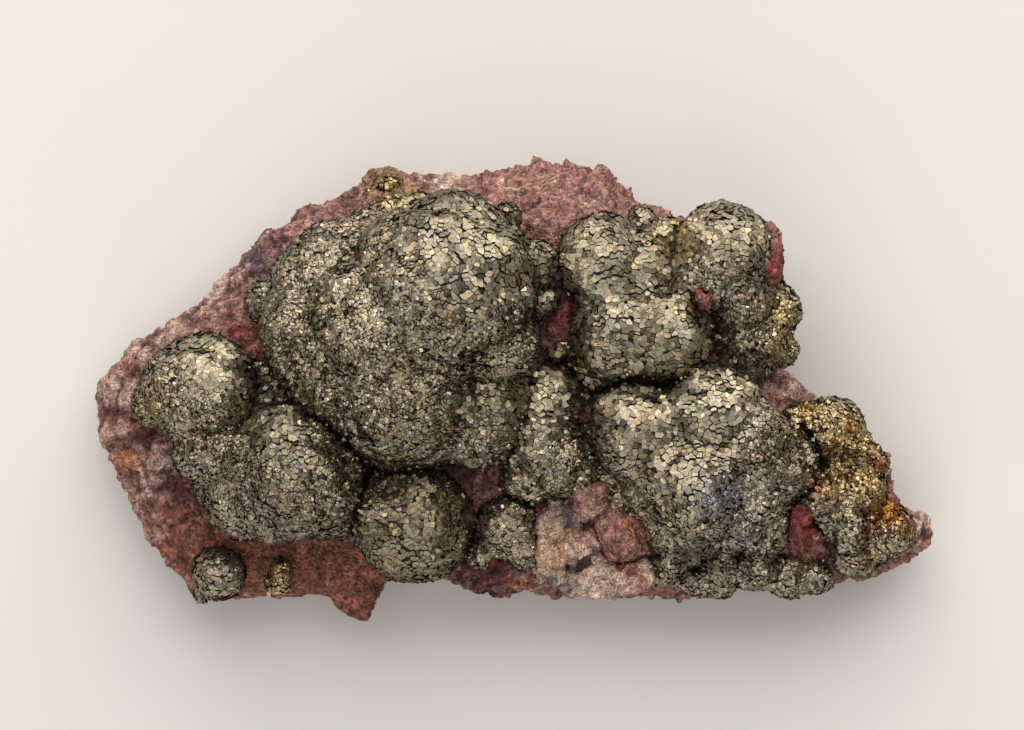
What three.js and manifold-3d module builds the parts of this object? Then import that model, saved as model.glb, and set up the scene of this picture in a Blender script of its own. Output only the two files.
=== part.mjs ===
// Rounded lumps of pyrite grown over a slab of pink and red rock, lying on its broken back.
// Millimetres, +Z up. The pyrite side faces +Z, and the long side runs along X.
// The group is centred on the origin in X and Y, and its resting face is at Z = 0.
import * as THREE from "three";
import { mergeVertices } from "three/addons/utils/BufferGeometryUtils.js";
import Module from "manifold-3d";

const wasm = await Module();
wasm.setup();

// Gap kept between two pieces that touch
const GAP = 0.3;
// Longest edge of the facets on a rounded lump, unless it already has the most steps
const LUMP_EDGE = 3.15;
// The most facets along one edge of the icosahedron behind a lump
const MOST_STEPS = 4;
// Depth of the uneven relief on a lump, as a share of its radius
const LUMP_RELIEF = 0.12;
// The same for the rock and the vein, which break more roughly
const ROCK_RELIEF = 0.26;
// Height of the slab's edge above the resting face, and how much it wanders
const EDGE_HEIGHT = 8.5;
const EDGE_WANDER = 2.2;
// Height of the slab's upper face where the lumps stand
const FACE_HEIGHT = 14.5;
// How far the resting face lies inside the outline
const FOOT_INSET = 4.0;
// Away from the edge, the slab keeps one point of the outline in this many, and near it, one in two
const INNER_STEP = 3;

// The slab's outline seen from above, anticlockwise from its leftmost point
const OUTLINE = [
  [-50.0, -0.8], [-49.8, -3.6], [-49.2, -6.6], [-47.9, -9.2], [-46.0, -12.0], [-44.8, -15.2],
  [-43.4, -18.4], [-41.6, -20.9], [-39.4, -22.6], [-38.4, -24.7], [-35.3, -25.0], [-31.4, -24.6],
  [-27.8, -24.9], [-24.4, -24.4], [-22.0, -24.6], [-21.2, -25.9], [-19.8, -27.1], [-18.0, -27.8],
  [-17.3, -27.5], [-17.7, -25.0], [-18.0, -23.2], [-14.8, -22.0], [-9.2, -22.3], [-5.2, -23.6],
  [-1.6, -24.6], [3.6, -23.0], [9.6, -24.6], [15.8, -23.6], [20.6, -24.4], [24.8, -24.2],
  [29.4, -23.4], [34.6, -23.7], [38.2, -23.2], [41.6, -22.5], [45.4, -21.6], [48.2, -20.0],
  [49.8, -18.2], [49.9, -16.8], [48.8, -15.5], [46.5, -13.6], [45.3, -11.0], [44.0, -8.8],
  [42.2, -6.8], [40.6, -3.6], [37.2, -1.2], [34.4, 0.2], [32.2, 1.9], [31.4, 5.2],
  [31.9, 9.2], [31.6, 12.6], [31.6, 14.6], [30.3, 17.0], [28.4, 18.8], [25.0, 19.8],
  [20.8, 20.2], [16.8, 21.6], [14.4, 23.2], [12.8, 24.4], [11.4, 26.1], [8.2, 26.8],
  [5.4, 27.2], [2.8, 27.7], [-0.9, 26.8], [-2.9, 26.4], [-4.2, 25.4], [-7.8, 25.4],
  [-12.2, 26.0], [-14.4, 26.8], [-16.8, 26.4], [-18.4, 24.2], [-21.2, 23.1], [-24.0, 22.3],
  [-26.2, 21.1], [-27.8, 19.4], [-30.0, 18.4], [-31.6, 16.8], [-33.0, 14.8], [-35.2, 13.2],
  [-36.8, 10.8], [-39.2, 9.2], [-41.8, 7.3], [-43.3, 6.2], [-44.4, 6.8], [-45.6, 5.8],
  [-46.6, 4.0], [-48.2, 1.8], [-49.5, 1.0],
];

// Rises and hollows of the slab's upper face: [x, y, height, reach]
const FACE_SWELLS = [
  [4, 22, 2.6, 9],
  [-12, 8, 2.0, 14],
  [20, 6, 2.5, 12],
  [22, -8, 2.0, 12],
  [-34, -20, -2.4, 9],
  [-20, -24, -4.4, 7],
  [-42, -10, -1.0, 8],
  [44, -14, -1.5, 8],
  [-44, 3, 0.8, 6],
];

// Knobs and wedges of rock that show between the lumps: [x, y, z, rx, ry, rz]
const ROCK_KNOBS = [
  [5.8, 9.4, 13.5, 3.6, 4.8, 7.2],
  [22.5, 10.9, 15.0, 1.5, 2.3, 11.4],
  [30.2, 15.6, 15.5, 2.0, 4.2, 6.6],
  [32.5, -0.4, 11.0, 2.2, 2.2, 4.8],
  [34.6, -15.0, 11.5, 1.5, 2.6, 8.8],
  [36.3, -17.6, 11.5, 1.9, 2.0, 7.8],
  [43.0, -9.4, 9.0, 2.3, 2.8, 5.4],
  [47.0, -17.2, 7.5, 3.2, 2.6, 4.0],
  [-1.8, -20.4, 9.5, 5.8, 3.8, 6.6],
  [13.6, -16.2, 12.5, 4.4, 5.0, 8.2],
  [9.4, -12.4, 13.0, 3.4, 3.0, 8.0],
];

// Pale vein mineral at the lower middle: [x, y, z, rx, ry, rz]
const VEIN_LUMPS = [
  [5.6, -15.6, 13.6, 3.6, 3.8, 5.2],
  [5.0, -19.4, 12.6, 4.0, 3.6, 5.2],
  [9.8, -22.1, 11.6, 4.2, 2.8, 5.0],
  [14.6, -21.4, 12.2, 3.2, 2.6, 4.8],
  [8.8, -18.6, 13.0, 3.4, 3.0, 4.8],
];

// Lumps of each body of pyrite that has grown together: [x, y, z, radius], or [x, y, z, rx, ry, rz]
const MAIN_LUMPS = [
  [-12.6, 7.6, 16.0, 13.4, 15.2, 9.4],
  [-8.1, 12.4, 25.6, 10.8],
  [-16.0, 7.4, 24.2, 9.0],
  [-22.6, 6.6, 21.4, 7.2],
  [-22.8, 13.4, 20.6, 5.4],
  [-19.4, 0.8, 21.0, 6.8],
  [-12.6, -0.6, 23.4, 8.5],
  [-4.4, -4.0, 22.6, 5.0],
  [-2.6, -0.4, 22.4, 4.6],
  [-1.6, 5.6, 25.6, 4.7],
  [2.0, 14.6, 22.6, 3.2],
  [3.0, 11.0, 21.6, 2.5],
  [-0.5, 20.7, 20.6, 1.7],
  [-22.4, 16.9, 17.8, 3.5],
  [-18.8, 17.8, 18.0, 2.9],
  [-29.4, 10.4, 17.0, 3.0],
];

const LEFT_LUMPS = [
  [-31.0, -5.4, 14.6, 8.6, 9.4, 6.0],
  [-37.0, 0.2, 18.8, 6.5],
  [-35.8, -5.8, 17.6, 5.2],
  [-26.2, -9.6, 20.2, 8.2],
  [-32.0, -12.2, 17.4, 5.2],
  [-22.2, -13.0, 18.6, 4.8],
  [-43.2, -1.6, 15.6, 2.6],
];

const ROUND_LUMPS = [
  [-12.1, -15.7, 18.6, 7.2],
  [-12.0, -15.0, 14.2, 4.6],
];

const UPPER_LUMPS = [
  [20.0, 11.4, 15.0, 12.8, 8.6, 6.6],
  [10.9, 15.4, 20.8, 5.6],
  [14.8, 14.8, 20.6, 4.6],
  [12.8, 6.6, 21.6, 5.5],
  [18.4, 6.8, 21.8, 5.6],
  [10.2, 3.4, 19.2, 3.4],
  [25.2, 16.8, 20.6, 5.8],
  [23.6, 13.6, 20.8, 4.8],
  [26.8, 11.2, 20.0, 4.4],
  [18.3, 18.5, 18.4, 2.9],
  [15.3, 20.3, 16.8, 1.9],
  [31.9, 9.6, 17.4, 2.7],
  [32.2, 5.3, 16.6, 2.2],
  [28.8, 6.8, 17.8, 4.3],
  [27.8, 3.6, 17.4, 3.3],
  [5.8, 4.6, 16.4, 2.6],
];

const LOWER_LUMPS = [
  [20.0, -8.4, 15.0, 14.6, 10.8, 6.6],
  [4.1, -0.8, 19.6, 4.1],
  [3.4, -5.8, 19.8, 4.7],
  [6.0, -8.8, 19.2, 4.2],
  [2.0, -10.6, 17.8, 3.4],
  [15.2, -4.6, 21.6, 5.9],
  [24.0, -2.8, 22.2, 6.1],
  [18.6, -9.6, 20.8, 5.6],
  [22.6, -10.6, 21.8, 7.0],
  [27.8, -7.0, 21.6, 5.7],
  [26.6, -12.6, 20.0, 5.2],
  [32.4, -8.2, 19.6, 4.3],
  [30.4, -13.3, 21.4, 2.6],
  [20.8, -16.6, 17.0, 3.8],
  [26.8, -16.8, 17.2, 3.3],
  [30.0, -17.6, 16.6, 2.9],
  [24.6, -19.4, 15.2, 2.7],
  [18.7, -20.9, 13.8, 2.9],
  [24.4, -22.4, 12.8, 2.6],
  [29.3, -21.2, 13.6, 3.0],
  [33.2, -22.1, 12.8, 2.6],
  [36.6, -22.2, 12.2, 2.4],
  [8.6, 0.2, 17.6, 2.2],
];

const END_LUMPS = [
  [39.4, -12.0, 12.0, 5.0, 8.0, 5.0],
  [38.6, -4.5, 16.6, 3.4],
  [36.6, -3.8, 16.0, 2.8],
  [41.0, -7.2, 16.6, 2.9],
  [37.8, -12.2, 17.0, 3.3],
  [42.4, -11.8, 14.8, 2.7],
  [39.7, -15.8, 15.2, 3.1],
  [45.2, -16.8, 12.9, 3.4],
  [41.0, -19.4, 13.2, 3.0],
];

const MIDDLE_LUMPS = [
  [-1.0, -16.4, 16.6, 3.5],
  [0.9, -13.9, 17.2, 2.5],
  [1.0, -19.0, 14.6, 2.8],
  [-3.4, -19.6, 13.6, 2.6],
];

const SMALL_BALL_LUMPS = [
  [-35.2, -22.0, 12.4, 3.2],
  [-37.4, -24.6, 10.6, 1.1],
];

const SMALL_TWIN_LUMPS = [
  [-27.8, -21.4, 12.4, 1.5, 1.6, 1.6],
  [-28.2, -23.2, 11.8, 1.8, 1.6, 1.6],
];

const TOP_PATCH_LUMPS = [
  [-15.0, 24.6, 11.4, 2.2, 1.5, 1.9],
  [-17.0, 23.6, 11.2, 1.5, 1.2, 1.7],
];

// Blocky crystals set into a body: how many, their size, and the lumps that they stand on
const END_BLOCKS = { count: 14, size: 2.5, lumps: END_LUMPS.slice(1), seed: 3 };
const RIM_BLOCKS = { count: 6, size: 2.4, lumps: LOWER_LUMPS.slice(14, 22), seed: 8 };
const MIDDLE_BLOCKS = { count: 4, size: 2.0, lumps: MIDDLE_LUMPS, seed: 5 };

const PYRITE = new THREE.MeshStandardMaterial({ color: "#a39a74", roughness: 0.38, metalness: 1 });
const BRASSY_PYRITE = new THREE.MeshStandardMaterial({ color: "#b79a4e", roughness: 0.34, metalness: 1 });
const ROCK = new THREE.MeshStandardMaterial({ color: "#96605a", roughness: 0.9, metalness: 0 });
const VEIN = new THREE.MeshStandardMaterial({ color: "#d0aa9a", roughness: 0.7, metalness: 0 });

// A wandering value from about -1 to 1: sines of three sizes along slanted directions
function wander(x, y, z) {
  const wide = Math.sin(0.31 * x + 0.47 * y + 1.3) * Math.cos(0.29 * y - 0.37 * z + 0.4);
  const middle = Math.sin(0.83 * x - 0.71 * y + 2.1) * Math.cos(0.77 * z + 0.69 * x + 1.9);
  const fine = Math.sin(1.9 * x + 1.3 * z + 0.7) * Math.cos(2.1 * y - 1.1 * x + 2.6);
  return 0.5 * wide + 0.32 * middle + 0.24 * fine;
}

// A repeatable value from 0 to 1 for a whole number
function chance(number) {
  const value = Math.sin(number * 127.1 + 311.7) * 43758.5453;
  return value - Math.floor(value);
}

// A closed geometry as a solid
function solidOf(geometry) {
  const bare = geometry.clone();
  bare.deleteAttribute("normal");
  bare.deleteAttribute("uv");
  const merged = mergeVertices(bare, 1e-4);
  return new wasm.Manifold(
    new wasm.Mesh({
      numProp: 3,
      vertProperties: merged.attributes.position.array,
      triVerts: new Uint32Array(merged.index.array),
    }),
  );
}

// A solid as a named mesh
function meshOf(name, solid, material) {
  const raw = solid.getMesh();
  const geometry = new THREE.BufferGeometry();
  geometry.setAttribute("position", new THREE.BufferAttribute(new Float32Array(raw.vertProperties), 3));
  geometry.setIndex(new THREE.BufferAttribute(new Uint32Array(raw.triVerts), 1));
  geometry.computeVertexNormals();
  const mesh = new THREE.Mesh(geometry, material);
  mesh.name = name;
  return mesh;
}

// The largest of the bodies that a cut has left
function largest(solid) {
  return solid.decompose().reduce((best, body) => (body.volume() > best.volume() ? body : best));
}

// One uneven rounded lump: a subdivided icosahedron pushed in and out, and grown by the gap if asked
function lump([x, y, z, rx, ry = rx, rz = rx], grow, relief) {
  const steps = Math.min(MOST_STEPS, Math.ceil(Math.cbrt(rx * ry * rz) / LUMP_EDGE));
  const geometry = new THREE.IcosahedronGeometry(1, steps - 1);
  const place = geometry.getAttribute("position");
  const point = new THREE.Vector3();
  for (let i = 0; i < place.count; i++) {
    point.fromBufferAttribute(place, i);
    const swell = 1 + relief * wander(x + rx * point.x, y + ry * point.y, z + rz * point.z);
    place.setXYZ(
      i,
      x + point.x * (rx * swell + grow),
      y + point.y * (ry * swell + grow),
      z + point.z * (rz * swell + grow),
    );
  }
  return solidOf(geometry);
}

// Lumps that have grown together as one body
function grownTogether(lumps, { grow = 0, relief = LUMP_RELIEF } = {}) {
  return lumps.map((one) => lump(one, grow, relief)).reduce((all, one) => all.add(one));
}

// Blocky crystals, half sunk in the lumps that carry them and turned every way
function blocks({ count, size, lumps, seed }, grow = 0) {
  const made = [];
  for (let i = 0; i < count; i++) {
    const number = seed * 100 + i * 7;
    const [x, y, z, rx, ry = rx, rz = rx] = lumps[i % lumps.length];
    const turn = 2 * Math.PI * chance(number);
    const tilt = 1.25 * chance(number + 1);
    const edge = size * (0.6 + 0.5 * chance(number + 2)) + 2 * grow;
    const geometry = new THREE.BoxGeometry(edge, edge * (0.7 + 0.3 * chance(number + 3)), edge);
    geometry.applyMatrix4(
      new THREE.Matrix4().compose(
        new THREE.Vector3(
          x + rx * Math.sin(tilt) * Math.cos(turn),
          y + ry * Math.sin(tilt) * Math.sin(turn),
          z + rz * Math.cos(tilt),
        ),
        new THREE.Quaternion().setFromEuler(new THREE.Euler(7 * chance(number + 4), 7 * chance(number + 5), turn)),
        new THREE.Vector3(1, 1, 1),
      ),
    );
    made.push(solidOf(geometry));
  }
  return made.reduce((all, one) => all.add(one));
}

// The triangles between a ring of points and the ring above it, which may have fewer points or more
function stitch(low, high) {
  const index = [];
  let [i, j] = [0, 0];
  while (i < low.count || j < high.count) {
    const [a, b] = [low.start + (i % low.count), high.start + (j % high.count)];
    if ((i + 1) * high.count <= (j + 1) * low.count) {
      index.push(a, low.start + ((i + 1) % low.count), b);
      i += 1;
    } else {
      index.push(a, high.start + ((j + 1) % high.count), b);
      j += 1;
    }
  }
  return index;
}

// A closed skin through rings of points, each given anticlockwise, from the lowest ring to the highest
function skinThroughRings(rings) {
  const place = new Float32Array(rings.flat().flatMap((point) => point));
  const spans = [];
  let start = 0;
  for (const ring of rings) {
    spans.push({ start, count: ring.length });
    start += ring.length;
  }
  const geometry = new THREE.BufferGeometry();
  geometry.setAttribute("position", new THREE.BufferAttribute(place, 3));
  const index = spans.slice(1).flatMap((span, r) => stitch(spans[r], span));
  geometry.setIndex([...capped(spans[0], true), ...index, ...capped(spans.at(-1), false)]);
  return geometry;
}

// A fan of triangles that closes a ring, facing down or up
function capped({ start, count }, down) {
  const index = [];
  for (let i = 1; i < count - 1; i++) {
    index.push(...(down ? [start, start + i + 1, start + i] : [start, start + i, start + i + 1]));
  }
  return index;
}

// The outline with its small jags averaged away
function softened(outline, reach) {
  const count = outline.length;
  return outline.map((_, i) => {
    let [x, y] = [0, 0];
    for (let k = -reach; k <= reach; k++) {
      const [px, py] = outline[(i + k + count) % count];
      x += px;
      y += py;
    }
    return [x / (2 * reach + 1), y / (2 * reach + 1)];
  });
}

// Height of the slab's upper face
function faceHeight(x, y) {
  let height = FACE_HEIGHT + 0.8 * wander(x, y, 0);
  for (const [cx, cy, rise, reach] of FACE_SWELLS) {
    height += rise * Math.exp(-((x - cx) ** 2 + (y - cy) ** 2) / (2 * reach ** 2));
  }
  return height;
}

// The broken slab of rock: rings from the flat foot out to the jagged edge, and back in over the upper face
function slab(grow) {
  const soft = softened(OUTLINE, 4);
  const ringAt = (inward, heightOf, roughness) =>
    OUTLINE.map(([x, y], i) => {
      const blend = Math.min(1, inward / 0.22);
      let px = (x + (soft[i][0] - x) * blend) * (1 - inward);
      let py = (y + (soft[i][1] - y) * blend) * (1 - inward);
      const rough = roughness * wander(1.7 * px + 3, 1.7 * py + 8, 20 * inward);
      const length = Math.hypot(px, py) || 1;
      px += (px / length) * rough;
      py += (py / length) * rough;
      const outward = grow * Math.max(0, 1 - inward / 0.14);
      return [px + (px / length) * outward, py + (py / length) * outward, heightOf(px, py)];
    });
  const edge = (x, y) => EDGE_HEIGHT + EDGE_WANDER * wander(0.8 * x, 0.8 * y, 5);
  const over = (rise) => (x, y) => grow + edge(x, y) + (faceHeight(x, y) - edge(x, y)) * rise;
  const foot = FOOT_INSET / 40;
  const thinned = (step, ring) => ring.filter((_, i) => i % step === 0);
  const rings = [
    thinned(INNER_STEP, ringAt(foot + 0.02, () => 0, 1.2)),
    thinned(2, ringAt(foot * 0.5, (x, y) => 0.42 * edge(x, y) + 1.2 * wander(x, y, 9), 1.6)),
    thinned(2, ringAt(0.012, (x, y) => 0.8 * edge(x, y), 0.5)),
    ringAt(0, (x, y) => edge(x, y) + grow, 0),
    thinned(2, ringAt(0.03, over(0.28), 0.3)),
    thinned(2, ringAt(0.075, over(0.55), 0.6)),
    thinned(INNER_STEP, ringAt(0.14, over(0.85), 0.7)),
    thinned(INNER_STEP, ringAt(0.26, over(1), 0.7)),
    thinned(INNER_STEP, ringAt(0.52, over(1), 0)),
  ];
  return solidOf(skinThroughRings(rings));
}

function rock(grow = 0) {
  return slab(grow).add(grownTogether(ROCK_KNOBS, { grow, relief: ROCK_RELIEF }));
}

// Each body of mineral as built, and grown by the gap to cut its neighbours
const bodies = {
  pyrite_main_cluster: { grown: (grow) => grownTogether(MAIN_LUMPS, { grow }), material: PYRITE },
  pyrite_left_cluster: { grown: (grow) => grownTogether(LEFT_LUMPS, { grow }), material: PYRITE },
  pyrite_lower_right_cluster: {
    grown: (grow) => grownTogether(LOWER_LUMPS, { grow }).add(blocks(RIM_BLOCKS, grow)),
    material: PYRITE,
  },
  pyrite_upper_right_cluster: { grown: (grow) => grownTogether(UPPER_LUMPS, { grow }), material: PYRITE },
  pyrite_right_end_crystals: {
    grown: (grow) => grownTogether(END_LUMPS, { grow }).add(blocks(END_BLOCKS, grow)),
    material: BRASSY_PYRITE,
  },
  pyrite_round_ball: { grown: (grow) => grownTogether(ROUND_LUMPS, { grow }), material: PYRITE },
  pyrite_middle_cluster: {
    grown: (grow) => grownTogether(MIDDLE_LUMPS, { grow }).add(blocks(MIDDLE_BLOCKS, grow)),
    material: PYRITE,
  },
  pyrite_small_ball: { grown: (grow) => grownTogether(SMALL_BALL_LUMPS, { grow }), material: PYRITE },
  pyrite_small_twin: { grown: (grow) => grownTogether(SMALL_TWIN_LUMPS, { grow }), material: BRASSY_PYRITE },
  pyrite_top_patch: { grown: (grow) => grownTogether(TOP_PATCH_LUMPS, { grow }), material: BRASSY_PYRITE },
  pale_vein: { grown: (grow) => grownTogether(VEIN_LUMPS, { grow, relief: ROCK_RELIEF }), material: VEIN },
};

const specimen = new THREE.Group();
specimen.add(meshOf("rock_matrix", rock(), ROCK));

// Each body is cut to sit on the rock and against the bodies before it
let taken = rock(GAP);
for (const [name, { grown, material }] of Object.entries(bodies)) {
  specimen.add(meshOf(name, largest(grown(0).subtract(taken)), material));
  taken = taken.add(grown(GAP));
}

// Centres the specimen over its resting face
const box = new THREE.Box3().setFromObject(specimen);
specimen.position.set(-(box.min.x + box.max.x) / 2, -(box.min.y + box.max.y) / 2, -box.min.z);

const part = new THREE.Group();
part.add(specimen);

export default part;
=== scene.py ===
"""Looks of a pyrite specimen: rounded lumps plated with small crystals, on a broken slab of pink rock.

The CAD frame gives every body its place and size. Each body's skin is remeshed from its CAD solid,
and the crystals, the rock's grain and the colours are worked out on that skin.
Lengths are millimetres until a mesh is written, because the crystals are under a millimetre wide.
"""

import math

import bpy
import numpy as np
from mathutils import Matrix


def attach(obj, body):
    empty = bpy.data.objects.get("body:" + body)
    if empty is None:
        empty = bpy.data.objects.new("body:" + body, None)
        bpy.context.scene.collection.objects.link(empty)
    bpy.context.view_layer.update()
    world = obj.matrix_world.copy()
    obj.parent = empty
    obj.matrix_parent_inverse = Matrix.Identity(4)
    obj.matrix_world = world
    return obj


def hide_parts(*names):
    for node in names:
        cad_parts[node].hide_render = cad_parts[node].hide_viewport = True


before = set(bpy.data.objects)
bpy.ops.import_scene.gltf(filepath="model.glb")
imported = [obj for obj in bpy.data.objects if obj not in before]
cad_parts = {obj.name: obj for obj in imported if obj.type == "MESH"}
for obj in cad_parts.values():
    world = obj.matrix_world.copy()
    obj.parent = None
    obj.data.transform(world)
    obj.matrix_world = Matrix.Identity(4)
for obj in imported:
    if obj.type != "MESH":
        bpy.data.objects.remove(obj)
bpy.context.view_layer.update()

MM = 0.001

# The photograph's frame, and how much of the specimen one of its pixels covers
FRAME_WIDTH = 1024
PIXEL_MM = 0.12
# Middle of the view on the specimen, in millimetres, and the height of its mean silhouette
VIEW_MIDDLE = (-0.18, 3.18)
VIEW_HEIGHT = 16.0
CAMERA_DISTANCE = 1500.0

# Skins: voxel size of the remesh and passes of smoothing
PYRITE_VOXEL = 0.55
PYRITE_PASSES = 9
ROCK_VOXEL = 0.37
ROCK_PASSES = 6
VEIN_VOXEL = 0.3
VEIN_PASSES = 5
# What smoothing takes off a lump, put back, with enough to close the CAD's gap to its neighbour
SKIN_OUT = 0.22
# How far the skin, painted dark as shade, then lies beneath the feet of the crystals
SKIN_SUNK = 0.36
# Large, middle and small rounded lumps on the pyrite: (size, height, seed)
LUMPS = ((6.5, 1.5, 3), (3.1, 0.85, 4), (1.5, 0.42, 5))

# Crystals from the raggedest zones to the calmest: least distance between middles, and how many to a
# square millimetre are tried before those too near to another are dropped
CRYSTAL_SIZES = ((0.19, 9.0), (0.24, 6.6), (0.33, 4.3))
# The usual distance between middles, as a multiple of the least
USUAL_SPACING = 1.5
# How far the random grade of a crystal strays from its zone's, and the size of the patches it strays in
GRADE_DRIFT = 0.16
GRADE_PATCH = 0.8
# Faces whose normal points down further than this have no crystals
UNDERSIDE = -0.6
# Slopes against the skin: of one plate in calm and in ragged zones, and the most it may vary by; of a block
# of plates, and of a slab of blocks
CALM_TILT = 0.08
RAGGED_TILT = 0.26
MOST_TILT = 0.6
BLOCK_TILT = 0.13
SLAB_TILT = 0.18
# How many plates lie awry, and how much more steeply
AWRY_SHARE = 0.12
AWRY_TILT = 3.0
# How far plates differ in height, how high a peak is, and how calm the zone may be where plates have one
PLATE_RISE = 0.1
PEAK_HEIGHT = 0.16
PEAKED_BELOW = 0.55
# Plates keep together in blocks, and blocks in slabs, both wider than they are high in the photograph
BLOCK_SIZE = 1.2
SLAB_SIZE = 2.6
BLOCK_LIE = np.array([0.8, 1.3, 1.15])
# Width of the seams between plates of a block, of the cracks between blocks, and of those between slabs
SEAM_WIDTH = 0.012
BLOCK_CRACK = 0.09
SLAB_CRACK = 0.22
ROOT_DEPTH = 0.5
# Blocky crystals in the creases where two bodies meet: share of the plates that get one, how much larger
# and how much higher it may be there, and how high every blocky one stands at least
CREASE_SHARE = 0.16
CREASE_GROWTH = 0.06
CREASE_LIFT = 0.2
LEAST_LIFT = 0.02
# A foot is hidden if another skin passes this far above it, and hemmed in if one is near a spot this high
HIDING_HEIGHT = 0.45
HEMMED_HEIGHT = 0.3
# Edges of the cubes of space in which two skins are compared for each
HIDING_CUBE = 0.7
HEMMED_CUBE = 0.9
# How much brightness varies among calm plates, how much more among ragged ones, among blocky crystals, and
# on the skin
CALM_SPREAD = 0.09
RAGGED_SPREAD = 0.18
BLOCKY_SPREAD = 0.35
SKIN_SPREAD = 0.05


def linear(code):
    """An sRGB hex colour as linear RGB: a share s of 255 up to 0.04045 becomes s / 12.92, and a larger one
    ((s + 0.055) / 1.055)^2.4."""
    share = np.array([int(code[i : i + 2], 16) / 255 for i in (1, 3, 5)])
    return np.where(share <= 0.04045, share / 12.92, ((share + 0.055) / 1.055) ** 2.4)


# Pale, plain and dull pyrite, blue and warm grey tarnish, painted shade on the lumps that this light
# would leave lit, yellow tarnish, two iron stains, and painted shade in the hollows
PALE = linear("#b9b096")
BRASS = linear("#a59984")
OLIVE = linear("#82775d")
STEEL = linear("#a2a4ab")
WARM_GREY = linear("#8a7f6c")
SHADED = linear("#5c5342")
GOLD = linear("#bda671")
STAIN = linear("#b9813a")
RED_STAIN = linear("#8c3a30")
PAINTED_HOLLOW_SHADE = linear("#2a2118")


# Noise

# Steps to the eight corners of a lattice cell, and to a cell and the 26 around it
CORNERS = np.array(list(np.ndindex(2, 2, 2)))
AROUND = np.array(list(np.ndindex(3, 3, 3))) - 1


def lattice_hash(corner, seed):
    """A repeatable whole number of 32 bits for each whole-number lattice corner."""
    x, y, z = (corner[:, i].astype(np.int64) for i in range(3))
    mixed = (x * 73856093) ^ (y * 19349663) ^ (z * 83492791) ^ (seed * 2971215073)
    mixed = (mixed ^ (mixed >> 13)) * 1274126177 & 0xFFFFFFFF
    mixed = (mixed ^ (mixed >> 16)) * 2246822519 & 0xFFFFFFFF
    return mixed ^ (mixed >> 15)


def lattice_vector(corner, seed):
    """Three repeatable random values from -1 to 1 for each lattice corner, ten bits of the hash to each."""
    mixed = lattice_hash(corner, seed)
    return np.stack([(mixed >> shift & 1023) / 511.5 - 1 for shift in (0, 10, 20)], axis=1)


def noise(points, size, seed):
    """Value noise from -1 to 1: random lattice values, blended between the eight corners by 3t^2 - 2t^3."""
    place = points / size
    corner = np.floor(place)
    part = place - corner
    part = part * part * (3 - 2 * part)
    total = np.zeros(len(points))
    for step in CORNERS:
        weight = np.prod(np.where(step, part, 1 - part), axis=1)
        total += weight * (lattice_hash(corner + step, seed) / 0x7FFFFFFF - 1)
    return total


def layered_noise(points, size, seed, layers=3):
    """Noise summed over layers, each half the size and half the height of the one before."""
    return sum(noise(points, size / 2**i, seed + i) / 2**i for i in range(layers)) / 1.6


def cells(points, size, seed):
    """The cells around random points, one jittered to each lattice cell.

    Gives each point's distances to the nearest random point and to the next one and its offset from the
    nearest, all as shares of the cell, and a random vector that belongs to the nearest.
    """
    place = points / size
    cell = np.floor(place)
    first = np.full(len(points), 9.0)
    second = first.copy()
    offset, own = np.zeros_like(place), np.zeros_like(place)
    for step in AROUND:
        corner = cell + step
        away = place - corner - 0.5 - 0.45 * lattice_vector(corner, seed)
        distance = np.sqrt((away**2).sum(axis=1))
        near = distance < first
        second = np.where(near, first, np.minimum(second, distance))
        first = np.where(near, distance, first)
        offset[near] = away[near]
        own[near] = lattice_vector(corner[near], seed + 1)
    return first, second, offset, own


def bulges(points, size, seed):
    """Rounded lumps that meet in creases: 0.4 less the squared distance to the nearest random point."""
    return 0.4 - cells(points, size, seed)[0] ** 2


def facets(points, size, seed):
    """Flat breaks: a plane of random slope over each cell, with a step where two cells meet."""
    _, _, offset, own = cells(points, size, seed)
    return (offset * own).sum(axis=1)


# Meshes

def write_mesh(name, points, faces, smooth, marks):
    """A mesh object from points in millimetres and index arrays, each array with one number of sides."""
    sides = np.concatenate([np.full(len(f), f.shape[1]) for f in faces])
    mesh = bpy.data.meshes.new(name)
    mesh.vertices.add(len(points))
    mesh.vertices.foreach_set("co", (points * MM).astype(np.float32).ravel())
    mesh.loops.add(int(sides.sum()))
    mesh.loops.foreach_set("vertex_index", np.concatenate([f.ravel() for f in faces]).astype(np.int32))
    mesh.polygons.add(len(sides))
    mesh.polygons.foreach_set("loop_start", (np.cumsum(sides) - sides).astype(np.int32))
    mesh.polygons.foreach_set("use_smooth", smooth)
    mesh.update(calc_edges=True)
    mesh.validate()
    for label, value in marks.items():
        kind = "FLOAT" if value.ndim == 1 else "FLOAT_COLOR"
        layer = mesh.attributes.new(label, kind, "POINT")
        if kind == "FLOAT":
            layer.data.foreach_set("value", value.astype(np.float32))
        else:
            with_alpha = np.concatenate([value, np.ones((len(value), 1))], axis=1)
            layer.data.foreach_set("color", with_alpha.astype(np.float32).ravel())
    piece = bpy.data.objects.new(name, mesh)
    bpy.context.scene.collection.objects.link(piece)
    return piece


def evaluated(piece):
    """The mesh of an object with its modifiers applied; the object itself goes."""
    seen = piece.evaluated_get(bpy.context.evaluated_depsgraph_get())
    mesh = bpy.data.meshes.new_from_object(seen)
    bpy.data.objects.remove(piece)
    return mesh


def points_of(mesh):
    values = np.empty(len(mesh.vertices) * 3, np.float32)
    mesh.vertices.foreach_get("co", values)
    return values.reshape(-1, 3).astype(float)


def normals_of(mesh):
    values = np.empty(len(mesh.vertices) * 3, np.float32)
    mesh.vertex_normals.foreach_get("vector", values)
    return values.reshape(-1, 3).astype(float)


def quads_of(mesh):
    values = np.empty(len(mesh.loops), np.int32)
    mesh.loops.foreach_get("vertex_index", values)
    return values.reshape(-1, 4)


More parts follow.
